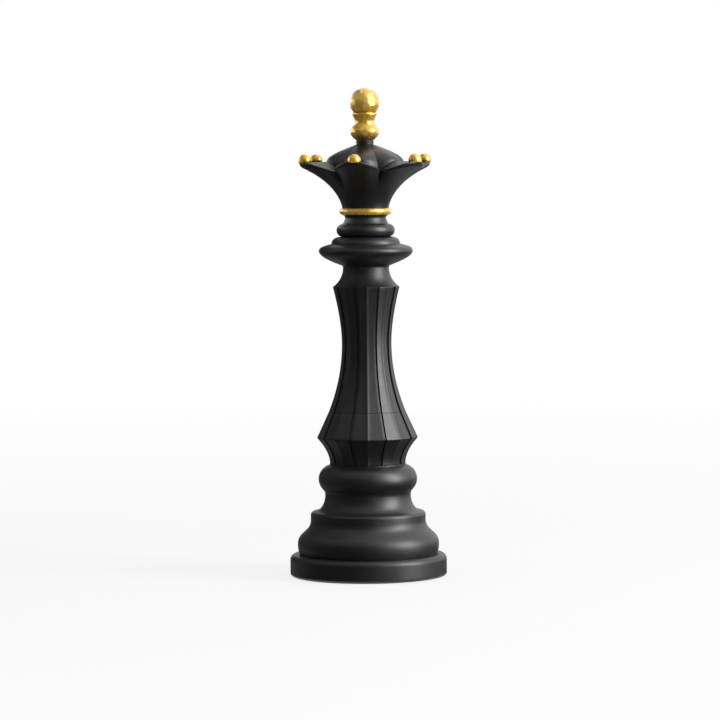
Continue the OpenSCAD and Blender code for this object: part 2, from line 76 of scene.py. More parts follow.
def easedCorner(line, corner, reach):
    # replaces a sharp corner of a side line by a short curve
    i = line.index(corner)
    spot = Vector(corner)
    ends = []
    for neighbour in (line[i - 1], line[i + 1]):
        way = Vector(neighbour) - spot
        ends.append(tuple(spot + way.normalized() * min(reach, way.length * cornerShape["share"])))
    curve = bezierLine([ends[0], corner, ends[1]], cornerShape["steps"])
    return line[:i] + curve + line[i + 1:]


def lowEdge(node):
    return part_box(node)[0].z / mm


def highEdge(node):
    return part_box(node)[1].z / mm


def halfWidth(node):
    return (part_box(node)[1].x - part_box(node)[0].x) / 2 / mm


def newPiece(name, points, faces):
    mesh = bpy.data.meshes.new(name)
    mesh.from_pydata([(x * mm, y * mm, z * mm) for x, y, z in points], [], faces)
    mesh.polygons.foreach_set("use_smooth", [True] * len(faces))
    piece = bpy.data.objects.new(name, mesh)
    scene.collection.objects.link(piece)
    return piece


def skinRings(name, rings, loop=False):
    # rings of points run counter-clockwise seen from above; loop joins the last ring to the first
    count = len(rings[0])
    total = len(rings)
    faces = []
    for i in range(total if loop else total - 1):
        up = (i + 1) % total
        for j in range(count):
            k = (j + 1) % count
            faces.append((i * count + j, i * count + k, up * count + k, up * count + j))
    if not loop:
        faces.append(tuple(reversed(range(count))))
        faces.append(tuple(range((total - 1) * count, total * count)))
    return newPiece(name, [p for ring in rings for p in ring], faces)


def turnRing(radius, height, steps):
    angles = [2 * math.pi * j / steps for j in range(steps)]
    return [(radius * math.cos(a), radius * math.sin(a), height) for a in angles]


def sharpenEdges(piece, degrees):
    piece.data.set_sharp_from_angle(angle=math.radians(degrees))


def finishPiece(piece, body, material, slot, *replaced):
    piece.data.materials.append(material)
    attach(piece, body)
    if replaced:
        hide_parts(*replaced)


# node helpers

def addNode(tree, kind, spot, inputs=None, **settings):
    made = tree.nodes.new(kind)
    made.location = spot
    for key, value in settings.items():
        setattr(made, key, value)
    for key, value in (inputs or {}).items():
        made.inputs[key].default_value = value
    return made


def newGroup(name, inputs, outputs):
    tree = bpy.data.node_groups.new(name, "ShaderNodeTree")
    face = tree.interface
    for label, value in inputs:
        made = face.new_socket(name=label, in_out="INPUT", socket_type="NodeSocketFloat")
        made.default_value = value
    for label in outputs:
        face.new_socket(name=label, in_out="OUTPUT", socket_type="NodeSocketFloat")
    entry = addNode(tree, "NodeGroupInput", (-1200, 0))
    leave = addNode(tree, "NodeGroupOutput", (900, 0))
    return tree, entry, leave


def mathNode(tree, operation, spot, first, second):
    made = addNode(tree, "ShaderNodeMath", spot, operation=operation)
    for index, value in enumerate((first, second)):
        if isinstance(value, (int, float)):
            made.inputs[index].default_value = value
        else:
            tree.links.new(value, made.inputs[index])
    return made.outputs[0]


def rangeNode(tree, spot, value, fromLow, fromHigh, toLow, toHigh):
    made = addNode(tree, "ShaderNodeMapRange", spot, {"From Min": fromLow, "From Max": fromHigh,
                                                      "To Min": toLow, "To Max": toHigh})
    tree.links.new(value, made.inputs["Value"])
    return made.outputs["Result"]


def colourMix(tree, spot, factor, first, second):
    # inputs 6 and 7 and output 2 are the mix node's colours
    made = addNode(tree, "ShaderNodeMix", spot, data_type="RGBA")
    tree.links.new(factor, made.inputs["Factor"])
    for socket, colour in ((made.inputs[6], first), (made.inputs[7], second)):
        if isinstance(colour, tuple):
            socket.default_value = (*colour, 1)
        else:
            tree.links.new(colour, socket)
    return made.outputs[2]


def newMaterial(name, **constants):
    material = bpy.data.materials.new(name)
    material.use_nodes = True
    tree = material.node_tree
    shader = tree.nodes["Principled BSDF"]
    for label, value in constants.items():
        shader.inputs[label.replace("_", " ")].default_value = value
    return material, tree, shader


def placeGroup(tree, group, spot, **values):
    made = addNode(tree, "ShaderNodeGroup", spot, node_tree=group)
    for label, value in values.items():
        made.inputs[label.replace("_", " ")].default_value = value
    return made


def bumpInto(tree, shader, height, distance, strength=1.0):
    bump = addNode(tree, "ShaderNodeBump", (-250, -350),
                   {"Strength": strength, "Distance": distance})
    tree.links.new(height, bump.inputs["Height"])
    tree.links.new(bump.outputs["Normal"], shader.inputs["Normal"])


# a sprayed or moulded skin: fine orange peel, slow waves, uneven patches and a few dust specks
skinLook = {"patchScale": 34, "patchRange": (0.3, 0.7), "speckHeart": (0.05, 0.16),
            "speckPatch": (0.5, 0.62), "waveWeight": 3.0, "peelWeight": 0.35, "speckWeight": 0.3}


def makeSkinGroup():
    s = skinLook
    tree, entry, leave = newGroup(
        "mouldedSkin",
        [("Peel Scale", 900), ("Wave Scale", 70), ("Speck Scale", 420), ("Speck Amount", 0.5)],
        ["Patch", "Specks", "Relief"])
    coords = addNode(tree, "ShaderNodeTexCoord", (-1200, 300)).outputs["Object"]
    peel = addNode(tree, "ShaderNodeTexNoise", (-900, 300), {"Detail": 3, "Roughness": 0.55})
    wave = addNode(tree, "ShaderNodeTexNoise", (-900, 0), {"Detail": 2, "Roughness": 0.5})
    patch = addNode(tree, "ShaderNodeTexNoise", (-900, -300),
                    {"Scale": s["patchScale"], "Detail": 6, "Roughness": 0.62})
    speck = addNode(tree, "ShaderNodeTexVoronoi", (-900, -600), feature="F1")
    for texture, socket in ((peel, "Peel Scale"), (wave, "Wave Scale"), (speck, "Speck Scale")):
        tree.links.new(coords, texture.inputs["Vector"])
        tree.links.new(entry.outputs[socket], texture.inputs["Scale"])
    tree.links.new(coords, patch.inputs["Vector"])
    # only the small heart of some cells becomes a speck
    heart = rangeNode(tree, (-600, -600), speck.outputs["Distance"], *s["speckHeart"], 1, 0)
    chosen = rangeNode(tree, (-600, -850), patch.outputs["Fac"], *s["speckPatch"], 0, 1)
    some = mathNode(tree, "MULTIPLY", (-350, -650), heart, chosen)
    specks = mathNode(tree, "MULTIPLY", (-150, -650), some, entry.outputs["Speck Amount"])
    slow = mathNode(tree, "MULTIPLY", (-600, 0), wave.outputs["Fac"], s["waveWeight"])
    fine = mathNode(tree, "MULTIPLY", (-600, 300), peel.outputs["Fac"], s["peelWeight"])
    relief = mathNode(tree, "ADD", (-350, 150), slow, fine)
    proud = mathNode(tree, "MULTIPLY", (50, -500), specks, s["speckWeight"])
    patches = rangeNode(tree, (-350, -300), patch.outputs["Fac"], *s["patchRange"], 0, 1)
    tree.links.new(patches, leave.inputs["Patch"])
    tree.links.new(specks, leave.inputs["Specks"])
    tree.links.new(mathNode(tree, "ADD", (300, 0), relief, proud), leave.inputs["Relief"])
    return tree


# hand-laid leaf: overlapping sheets, crinkles pressed into the size, and worn pinholes
leafLook = {"driftScale": 180, "driftReach": 0.004, "foldReach": 0.22, "foldWeight": 0.55,
            "rippleWeight": 1.3, "rippleRange": (0.3, 0.7), "sheetWeight": 0.25,
            "wornScale": 520, "wornRange": (0.62, 0.72)}


def makeLeafGroup():
    s = leafLook
    tree, entry, leave = newGroup(
        "laidLeaf",
        [("Crinkle Scale", 300), ("Sheet Scale", 70), ("Worn Amount", 0.5)],
        ["Sheet", "Worn", "Gloss", "Relief"])
    coords = addNode(tree, "ShaderNodeTexCoord", (-1200, 300)).outputs["Object"]
    drift = addNode(tree, "ShaderNodeTexNoise", (-1000, 500),
                    {"Scale": s["driftScale"], "Detail": 2})
    tree.links.new(coords, drift.inputs["Vector"])
    bend = addNode(tree, "ShaderNodeVectorMath", (-800, 500), operation="SCALE")
    bend.inputs["Scale"].default_value = s["driftReach"]
    tree.links.new(drift.outputs["Color"], bend.inputs[0])
    bent = addNode(tree, "ShaderNodeVectorMath", (-600, 400), operation="ADD")
    tree.links.new(coords, bent.inputs[0])
    tree.links.new(bend.outputs[0], bent.inputs[1])
    fold = addNode(tree, "ShaderNodeTexVoronoi", (-350, 500), feature="DISTANCE_TO_EDGE")
    ripple = addNode(tree, "ShaderNodeTexNoise", (-350, 200), {"Detail": 2, "Roughness": 0.5})
    sheet = addNode(tree, "ShaderNodeTexVoronoi", (-350, -100), feature="F1")
    worn = addNode(tree, "ShaderNodeTexNoise", (-350, -400),
                   {"Scale": s["wornScale"], "Detail": 4, "Roughness": 0.7})
    sized = ((fold, "Crinkle Scale"), (ripple, "Crinkle Scale"), (sheet, "Sheet Scale"))
    for texture, socket in sized:
        tree.links.new(bent.outputs[0], texture.inputs["Vector"])
        tree.links.new(entry.outputs[socket], texture.inputs["Scale"])
    tree.links.new(coords, worn.inputs["Vector"])
    crease = rangeNode(tree, (-100, 500), fold.outputs["Distance"], 0.0, s["foldReach"], 0, 1)
    folds = mathNode(tree, "MULTIPLY", (100, 500), crease, s["foldWeight"])
    ripples = mathNode(tree, "MULTIPLY", (-100, 200), ripple.outputs["Fac"], s["rippleWeight"])
    tone = addNode(tree, "ShaderNodeSeparateColor", (-100, -100))
    tree.links.new(sheet.outputs["Color"], tone.inputs["Color"])
    step = mathNode(tree, "MULTIPLY", (100, -50), tone.outputs["Red"], s["sheetWeight"])
    pits = rangeNode(tree, (-100, -400), worn.outputs["Fac"], *s["wornRange"], 0, 1)
    wornMask = mathNode(tree, "MULTIPLY", (100, -400), pits, entry.outputs["Worn Amount"])
    relief = mathNode(tree, "ADD", (300, 350), folds, ripples)
    gloss = rangeNode(tree, (300, 50), ripple.outputs["Fac"], *s["rippleRange"], 0, 1)
    tree.links.new(mathNode(tree, "ADD", (500, 250), relief, step), leave.inputs["Relief"])
    tree.links.new(tone.outputs["Red"], leave.inputs["Sheet"])
    tree.links.new(wornMask, leave.inputs["Worn"])
    tree.links.new(gloss, leave.inputs["Gloss"])
    return tree


skinGroup = makeSkinGroup()
leafGroup = makeLeafGroup()

blackPaint = {"deep": (0.0062, 0.0059, 0.0060), "faded": (0.0094, 0.0090, 0.0091),
              "dust": (0.1, 0.098, 0.094), "gloss": (0.38, 0.47), "specular": 0.85,
              "reliefDepth": 0.05 * mm, "reliefStrength": 0.7,
              "skin": {"Peel_Scale": 1100, "Wave_Scale": 90, "Speck_Scale": 330,
                       "Speck_Amount": 0.5}}


def makeBlackPaint():
    s = blackPaint
    material, tree, shader = newMaterial("satinBlackPaint", Specular_IOR_Level=s["specular"])
    skin = placeGroup(tree, skinGroup, (-900, 0), **s["skin"])
    coat = colourMix(tree, (-500, 250), skin.outputs["Patch"], s["deep"], s["faded"])
    colour = colourMix(tree, (-250, 250), skin.outputs["Specks"], coat, s["dust"])
    tree.links.new(colour, shader.inputs["Base Color"])
    sheen = rangeNode(tree, (-500, 0), skin.outputs["Patch"], 0, 1, *s["gloss"])
    rough = mathNode(tree, "ADD", (-250, 0), sheen, skin.outputs["Specks"])
    tree.links.new(rough, shader.inputs["Roughness"])
    bumpInto(tree, shader, skin.outputs["Relief"], s["reliefDepth"], s["reliefStrength"])
    return material


# the darker of the two browns is painted shade, laid into creases and under parts by ambient
# occlusion
goldLeaf = {"pale": (1.0, 0.76, 0.27), "bright": (1.0, 0.66, 0.11), "deep": (0.88, 0.46, 0.03),
            "ground": (0.16, 0.075, 0.018), "creaseShade": (0.07, 0.03, 0.004),
            "metal": 0.66, "groundMetal": 0.2, "coatGloss": 0.22, "sheetScale": 85,
            "paleRange": (0.2, 0.9), "paleShare": 0.45, "creaseShadeRange": (0.45, 0.9), "creaseShadeSamples": 8}


def makeGoldLeaf(name, crinkle, worn, depth, gloss, lacquer, creaseShadeReach):
    s = goldLeaf
    material, tree, shader = newMaterial(name, Coat_Weight=lacquer, Coat_Roughness=s["coatGloss"])
    leaf = placeGroup(tree, leafGroup, (-900, 0), Crinkle_Scale=crinkle,
                      Sheet_Scale=s["sheetScale"], Worn_Amount=worn)
    sheets = colourMix(tree, (-500, 250), leaf.outputs["Sheet"], s["deep"], s["bright"])
    # paler on the ripples, and painted shade: a dark brown laid into creases and under parts by
    # ambient occlusion
    ripples = rangeNode(tree, (-700, 500), leaf.outputs["Gloss"], *s["paleRange"],
                        0, s["paleShare"])
    sheets = colourMix(tree, (-400, 400), ripples, sheets, s["pale"])
    # painted shade: the more a spot is hidden by nearby parts, the more it turns dark brown
    hidden = addNode(tree, "ShaderNodeAmbientOcclusion", (-900, 750), {"Distance": creaseShadeReach},
                     samples=s["creaseShadeSamples"])
    crease = rangeNode(tree, (-700, 750), hidden.outputs["AO"], *s["creaseShadeRange"], 1, 0)
    sheets = colourMix(tree, (-300, 500), crease, sheets, s["creaseShade"])
    colour = colourMix(tree, (-250, 250), leaf.outputs["Worn"], sheets, s["ground"])
    tree.links.new(colour, shader.inputs["Base Color"])
    sheen = rangeNode(tree, (-500, 0), leaf.outputs["Gloss"], 0, 1, *gloss)
    rough = mathNode(tree, "ADD", (-250, 0), sheen, leaf.outputs["Worn"])
    tree.links.new(rough, shader.inputs["Roughness"])
    metal = rangeNode(tree, (-250, -150), leaf.outputs["Worn"], 0, 1, s["metal"], s["groundMetal"])
    tree.links.new(metal, shader.inputs["Metallic"])
    bumpInto(tree, shader, leaf.outputs["Relief"], depth)
    return material


plainSkin = {"Wave_Scale": 120, "Speck_Scale": 500, "Speck_Amount": 0.3}


def makePlainMaterial(name, dark, light, gloss, metal, peel, depth):
    # for the rubber pad and the fittings: one colour pair over the moulded skin
    material, tree, shader = newMaterial(name, Metallic=metal)
    skin = placeGroup(tree, skinGroup, (-900, 0), Peel_Scale=peel, **plainSkin)
    colour = colourMix(tree, (-400, 250), skin.outputs["Patch"], dark, light)
    tree.links.new(colour, shader.inputs["Base Color"])
    rough = rangeNode(tree, (-400, 0), skin.outputs["Patch"], 0, 1, *gloss)
    tree.links.new(rough, shader.inputs["Roughness"])
    bumpInto(tree, shader, skin.outputs["Relief"], depth)
    return material


blackMaterial = makeBlackPaint()
# the last argument is how far the painted crease shade reaches
finialGold = makeGoldLeaf("finialGoldLeaf", crinkle=130, worn=0.25, depth=0.34 * mm,
                          gloss=(0.2, 0.36), lacquer=0.9, creaseShadeReach=12 * mm)
trimGold = makeGoldLeaf("trimGoldLeaf", crinkle=150, worn=0.12, depth=0.06 * mm,
                        gloss=(0.22, 0.38), lacquer=0.5, creaseShadeReach=4 * mm)
plainLooks = {
    "footRubber": {"dark": (0.018, 0.018, 0.018), "light": (0.035, 0.034, 0.033),
                   "gloss": (0.75, 0.9), "metal": 0, "peel": 1600, "depth": 0.08 * mm},
    "castIron": {"dark": (0.06, 0.058, 0.056), "light": (0.13, 0.12, 0.115),
                 "gloss": (0.5, 0.7), "metal": 0.8, "peel": 700, "depth": 0.2 * mm},
    "zincSteel": {"dark": (0.48, 0.49, 0.51), "light": (0.64, 0.65, 0.67),
                  "gloss": (0.28, 0.42), "metal": 1, "peel": 2200, "depth": 0.02 * mm},
    "turnedBrass": {"dark": (0.62, 0.44, 0.17), "light": (0.74, 0.56, 0.25),
                    "gloss": (0.22, 0.34), "metal": 1, "peel": 2200, "depth": 0.02 * mm},
    "vulcanFibre": {"dark": (0.05, 0.028, 0.018), "light": (0.085, 0.05, 0.03),
                    "gloss": (0.6, 0.75), "metal": 0, "peel": 1500, "depth": 0.05 * mm},
}
plainMaterials = {name: makePlainMaterial(name, **look) for name, look in plainLooks.items()}
print("materials made")

# the turned black sections and the fittings keep their solids
keptNodes = [
    (blackMaterial, ["plinth", "base_moulding", "base_bead", "column_neck", "collar_disc",
                     "collar_bead"]),
    (plainMaterials["footRubber"], ["foot_pad"]),
    (plainMaterials["castIron"], ["ballast_ring"]),
    (plainMaterials["zincSteel"], ["tie_rod", "tie_nut", "spring_washer", "base_washer"]),
    (plainMaterials["turnedBrass"], ["finial_insert"]),
    (plainMaterials["vulcanFibre"], ["finial_washer"]),
]
for material, names in keptNodes:
    for name in names:
        mesh = nodes[name].data
        mesh.materials.clear()
        mesh.materials.append(material)
print("kept nodes dressed")


# column: nine ribs with a soft ridge each and a narrow groove between neighbours
columnShape = {"ribs": 9, "core": 8.0, "foot": 21.4, "arris": (28.7, 15.0), "crease": (21.8, 30.0),
               "waist": (14.0, 68.9), "top": 18.9, "undersidePull": 0.46, "upperPull": 0.4,
               "undersideSteps": 18, "taperSteps": 8, "lowerSteps": 36, "upperSteps": 28,
               "arrisRound": 0.7, "endRound": 0.5, "creaseLine": 0.14, "creaseLip": 0.05,
               "ridgeRound": 0.35, "ridgeEase": 0.3, "ridgeRise": 0.22, "ridgeWidth": 0.9,
               "ridgeOffsets": (0, 0.15, 0.3, 0.5, 0.75, 1.05, 1.4), "betweenSteps": 4,
               "grooveWidth": 2.4, "grooveDepth": 1.1, "grooveWall": 0.2,
               "wallOffsets": (0.6, 0.12, 0, -0.12, -0.2), "sharpAngle": 25}


def columnSide(height):
    s = columnShape
    foot, top = (s["foot"], 0), (s["top"], height)
    arris, crease, waist = s["arris"], s["crease"], s["waist"]
    footPull = (s["foot"], arris[1] * s["undersidePull"])
    lowerPull = (waist[0], (crease[1] + waist[1]) / 2)
    upperPull = (waist[0], mixValue(waist[1], height, s["upperPull"]))
    underside = bezierLine([foot, footPull, arris], s["undersideSteps"])
    taper = [mixPoint(arris, crease, i / s["taperSteps"]) for i in range(1, s["taperSteps"])]
    lower = bezierLine([crease, lowerPull, waist], s["lowerSteps"])
    upper = bezierLine([waist, upperPull, top], s["upperSteps"])[1:]
    # a fine line is pressed in at the crease
    taper.append((crease[0] + s["creaseLip"], crease[1] - s["creaseLine"]))
    lower.insert(1, (crease[0] - s["creaseLip"], crease[1] + s["creaseLine"]))
    lower[0] = (crease[0] - s["creaseLine"], crease[1])
    line = easedCorner(underside + taper + lower + upper, arris, s["arrisRound"])
    line = [(s["core"], 0)] + line + [(s["core"], height)]
    line = easedCorner(line, foot, s["endRound"])
    return easedCorner(line, top, s["endRound"])


def ribRing(flat, height):
    # from a ridge to the next groove and back; the groove is a narrow slot with steep walls
    s = columnShape
    half = math.pi / s["ribs"]
    corner = flat / math.cos(half / 2)
    slot = s["grooveWidth"] / 2
    nearRidge = [v / corner for v in s["ridgeOffsets"]]
    nearGroove = [half - (slot + v) / corner for v in s["wallOffsets"]] + [half]
    between = [mixValue(nearRidge[-1], nearGroove[0], i / s["betweenSteps"])
               for i in range(1, s["betweenSteps"])]
    offsets = nearRidge + between + nearGroove
    offsets = offsets + [2 * half - v for v in reversed(offsets[1:-1])]
    points = []
    for rib in range(s["ribs"]):
        for offset in offsets:
            fromRidge = min(offset, 2 * half - offset)
            eased = math.hypot(fromRidge * corner, s["ridgeRound"])
            eased = (eased - s["ridgeEase"] * s["ridgeRound"]) / corner
            radius = flat / math.cos(half / 2 - min(eased, half))
            radius += s["ridgeRise"] * math.exp(-(fromRidge * corner / s["ridgeWidth"]) ** 2)
            inside = slot - (half - fromRidge) * corner
            radius -= s["grooveDepth"] * min(max(inside / s["grooveWall"], 0), 1)
            angle = -math.pi / 2 + 2 * half * rib + offset
            points.append((radius * math.cos(angle), radius * math.sin(angle), height))
    return points


def coreRing(count, radius, height):
    return [(radius * math.cos(a), radius * math.sin(a), height)
            for a in (-math.pi / 2 + 2 * math.pi * j / count for j in range(count))]


columnFoot = lowEdge("column")
columnLine = columnSide(highEdge("column") - columnFoot)
columnRings = [ribRing(r, columnFoot + z) for r, z in columnLine[1:-1]]
sectionCount = len(columnRings[0])
columnRings.insert(0, coreRing(sectionCount, columnShape["core"], columnFoot))
columnRings.append(coreRing(sectionCount, columnShape["core"], highEdge("column")))
columnPiece = skinRings("ribbedColumn", columnRings)
sharpenEdges(columnPiece, columnShape["sharpAngle"])
finishPiece(columnPiece, "stack", blackMaterial, "black_resin", "column")
print("column built,", len(columnPiece.data.polygons), "faces")


# crown: six broad petals with narrow notches, a lobed dome between them
crownShape = {"petals": 6, "turn": -9.6, "core": 9.0, "foot": 13.3, "stand": (1.6, 9.1),
              "tip": (37.28, 23.5), "tipPull": (0.39, 0.7),
              "notch": (21.9, 20.2), "notchPull": (2, 0.68),
              "reachPower": (1.4, 0.55), "liftPower": 1.2, "rim": 1.0, "tipRim": 3.2,
              "noseStart": 20, "noseSwell": 0.6, "edgeRound": 0.4, "topDish": 0.5, "topTuck": 0.6,
              "flareSteps": 44, "noseSteps": 8, "edgeSteps": 4, "topSteps": 10, "sharpAngle": 48}
petalOffsets = [0, 0.25, 0.7, 1.4, 2.4, 3.6, 5, 7, 9.5, 12, 15, 18, 21, 24, 27, 30]


def crownAngles():
    # each column's angle, and how far it lies from a notch (0) to a petal's middle (1)
    pitch = 360 / crownShape["petals"]
    offsets = petalOffsets + [pitch - v for v in reversed(petalOffsets[1:-1])]
    start = crownShape["turn"] - 90 - pitch / 2
    return [(math.radians(start + pitch * i + v), math.sin(math.pi * v / pitch))
            for i in range(crownShape["petals"]) for v in offsets]


crownColumns = crownAngles()
crownFoot = lowEdge("coronet")


def petalReach(petal, t=1.0):
    # soft swells low on the cup, broad petals with narrow notches at the rim
    return max(petal, 0.0) ** mixValue(*crownShape["reachPower"], t * t)


def petalLift(petal):
    return max(petal, 0.0) ** crownShape["liftPower"]


def crownRing(side):
    # side gives radius and height over the crown's foot for a column
    ring = []
    for angle, petal in crownColumns:
        radius, height = side(petal)
        ring.append((radius * math.cos(angle), radius * math.sin(angle), crownFoot + height))
    return ring


def crownRings(sideAt, steps, first=1):
    return [crownRing(sideAt(i / steps)) for i in range(first, steps + 1)]


def levelSide(radius, height):
    return lambda petal: (radius, height)


def flareSide(t):
    s = crownShape
    tip, notch = s["tip"], s["notch"]
    foot, stand = (s["foot"], 0), (s["foot"] + s["stand"][0], s["stand"][1])
    notchPull = (notch[0] + s["notchPull"][0], notch[1] * s["notchPull"][1])
    tipPull = (mixValue(s["foot"], tip[0], s["tipPull"][0]), tip[1] * s["tipPull"][1])
    valley = bezierPoint([foot, stand, notchPull, notch], t)
    crest = bezierPoint([foot, stand, tipPull, tip], t)
    return lambda petal: (mixValue(valley[0], crest[0], petalReach(petal, t)),
                          mixValue(valley[1], crest[1], petalLift(petal)))


def rimThick(petal):
    return mixValue(crownShape["rim"], crownShape["tipRim"], petalLift(petal))


def rimTop(petal):
    low, high = crownShape["notch"][1], crownShape["tip"][1]
    return mixValue(low, high, petalLift(petal)) + rimThick(petal)


def noseSide(t):
    # the edge of the rim: it turns up from the flare and is widest just under its top
    start = math.radians(crownShape["noseStart"])
    turn = mixValue(start, math.pi / 2, t)
    swell = (math.sin(turn) - math.sin(start)) / (1 - math.sin(start))
    rise = 1 - math.cos(turn) / math.cos(start)

    def side(petal):
        radius, height = flareSide(1)(petal)
        thick = rimThick(petal)
        return (radius + crownShape["noseSwell"] * thick * swell,
                height + (thick - crownShape["edgeRound"]) * rise)
    return side


def edgeSide(t):
    # the small round from the rim's edge to its top
    turn = math.pi / 2 * t

    def side(petal):
        radius, height = noseSide(1)(petal)
        return (radius - crownShape["edgeRound"] * (1 - math.cos(turn)),
                height + crownShape["edgeRound"] * math.sin(turn))
    return side


domeShape = {"radius": 22.8, "crease": 2.4, "shoulder": 0.35, "draw": (0.43, 0.7), "neck": 4.9,
             "neckFoot": 36.2, "neckFlare": 0.24, "topInset": 0.9, "footRise": 1,
             "steps": 40, "neckSteps": 4, "sharpAngle": 60}


def domeEdge(petal):
    return domeShape["radius"] - domeShape["crease"] * (1 - petal)


def topSide(t):
    # the petal's upper face, dished a little between the rim and the dome
    def side(petal):
        outer, inner = edgeSide(1)(petal)[0], domeEdge(petal) - crownShape["topTuck"]
        dish = crownShape["topDish"] * petalReach(petal) * math.sin(math.pi * t)
        return mixValue(outer, inner, t), rimTop(petal) - dish
    return side


def domeSide(t):
    s = domeShape
    shoulder = mixValue(rimTop(1), s["neckFoot"], s["shoulder"])
    draw = mixValue(rimTop(1), s["neckFoot"], s["draw"][1])

    def side(petal):
        edge = domeEdge(petal)
        line = [(edge, rimTop(petal)), (edge, shoulder),
                (mixValue(s["neck"], edge, s["draw"][0]), draw), (s["neck"], s["neckFoot"])]
        return bezierPoint(line, t)
    return side


seat = crownShape["notch"][1]
coronetRings = [crownRing(levelSide(crownShape["core"], 0))]
coronetRings += crownRings(flareSide, crownShape["flareSteps"], first=0)
coronetRings += crownRings(noseSide, crownShape["noseSteps"])
coronetRings += crownRings(edgeSide, crownShape["edgeSteps"])
coronetRings += crownRings(topSide, crownShape["topSteps"])
coronetRings.append(crownRing(levelSide(crownShape["core"], seat)))
coronetPiece = skinRings("petalCoronet", coronetRings)
sharpenEdges(coronetPiece, crownShape["sharpAngle"])
finishPiece(coronetPiece, "stack", blackMaterial, "black_resin", "coronet")

domeTop = highEdge("crown_dome") - crownFoot


def neckSide(t):
    return levelSide(domeShape["neck"] + domeShape["neckFlare"] * t,
                     mixValue(domeShape["neckFoot"], domeTop, t))


domeRings = [crownRing(levelSide(crownShape["core"], seat + domeShape["footRise"]))]
domeRings += crownRings(domeSide, domeShape["steps"], first=0)
domeRings += crownRings(neckSide, domeShape["neckSteps"])
domeRings.append(crownRing(levelSide(domeShape["neck"] - domeShape["topInset"], domeTop)))
domePiece = skinRings("lobedDome", domeRings)
sharpenEdges(domePiece, domeShape["sharpAngle"])
finishPiece(domePiece, "stack", blackMaterial, "black_resin", "crown_dome")
crownFaces = len(coronetPiece.data.polygons) + len(domePiece.data.polygons)
print("crown built,", crownFaces, "faces")


# gold pieces: a little uneven under the leaf
unevenShape = {"shift": (0.37, 0.61, 0.83), "finer": 2.7, "slow": 0.6, "crinkle": 0.25, "sink": 0.5}


def leafUneven(piece, depth, scale, seed):
    s = unevenShape
    shift = Vector([seed * v for v in s["shift"]])
    normals = [v.normal.copy() for v in piece.data.vertices]
    for vertex, normal in zip(piece.data.vertices, normals):
        spot = vertex.co / mm * scale + shift
        slow = noise.noise(spot)
        crinkle = 1 - 2 * abs(noise.noise(spot * s["finer"]))
        rise = s["slow"] * slow + s["crinkle"] * crinkle - s["sink"]
        vertex.co += normal * depth * mm * rise


def turnedPiece(name, line, steps):
    return skinRings(name, [turnRing(r, z, steps) for r, z in line], loop=True)


ringShape = {"edge": 13.3, "bore": 9.2, "steps": 20, "round": 144,
             "depth": 0.16, "grain": 0.5, "seed": 3}


def makeNeckRing():
    s = ringShape
    low, high = lowEdge("neck_ring"), highEdge("neck_ring")
    middle, half = (low + high) / 2, (high - low) / 2
    bulge = halfWidth("neck_ring") - s["edge"]
    angles = [math.pi * (i / s["steps"] - 0.5) for i in range(s["steps"] + 1)]
    line = [(s["edge"] + bulge * math.cos(a), middle + half * math.sin(a)) for a in angles]
    line = [(s["bore"], low)] + line + [(s["bore"], high)]
    piece = turnedPiece("goldNeckRing", line, s["round"])
    leafUneven(piece, s["depth"], s["grain"], s["seed"])
    finishPiece(piece, "stack", trimGold, "gold", "neck_ring")


beadShape = {"radius": 3.8, "circle": 36.6, "rise": 0.3, "sink": 0.8, "rows": 28, "round": 48,
             "depth": 0.14, "grain": 0.45, "seed": 10, "seedStep": 7}


def makeCrownBead(index):
    s = beadShape
    turn = crownShape["turn"] - 90 + 360 / crownShape["petals"] * (index - 1)
    angle = math.radians(turn)
    x, y = s["circle"] * math.cos(angle), s["circle"] * math.sin(angle)
    middle = crownFoot + rimTop(1) + s["rise"]
    floor = -s["rise"] - s["sink"]
    rings = []
    for row in range(1, s["rows"]):
        tilt = math.pi * (row / s["rows"] - 0.5)
        height = max(s["radius"] * math.sin(tilt), floor)
        ring = turnRing(s["radius"] * math.cos(tilt), height, s["round"])
        rings.append([(px + x, py + y, pz + middle) for px, py, pz in ring])
    piece = skinRings("goldBead%d" % index, rings)
    leafUneven(piece, s["depth"], s["grain"], s["seed"] + s["seedStep"] * index)
    finishPiece(piece, "stack", trimGold, "gold", "crown_bead_%d" % index)


stemShape = {"height": 15.9, "foot": 5.4, "bulb": (8.4, 4.8), "footSwell": (0.6, 0.63),
             "bulbPull": 0.6, "waist": (5.6, 10.5), "flarePull": 0.36, "lip": 7.2, "lipHeight": 2.2,
             "lipArc": (-25, 60), "cup": (5.6, 4.6, 3.4, 2.2), "cupGap": 0.05, "bore": 3.6,
             "boreTop": 8.3, "bulbSteps": 14, "swaySteps": 24, "flareSteps": 14, "lipSteps": 12,
             "round": 144, "depth": 0.18, "grain": 0.42, "seed": 5}


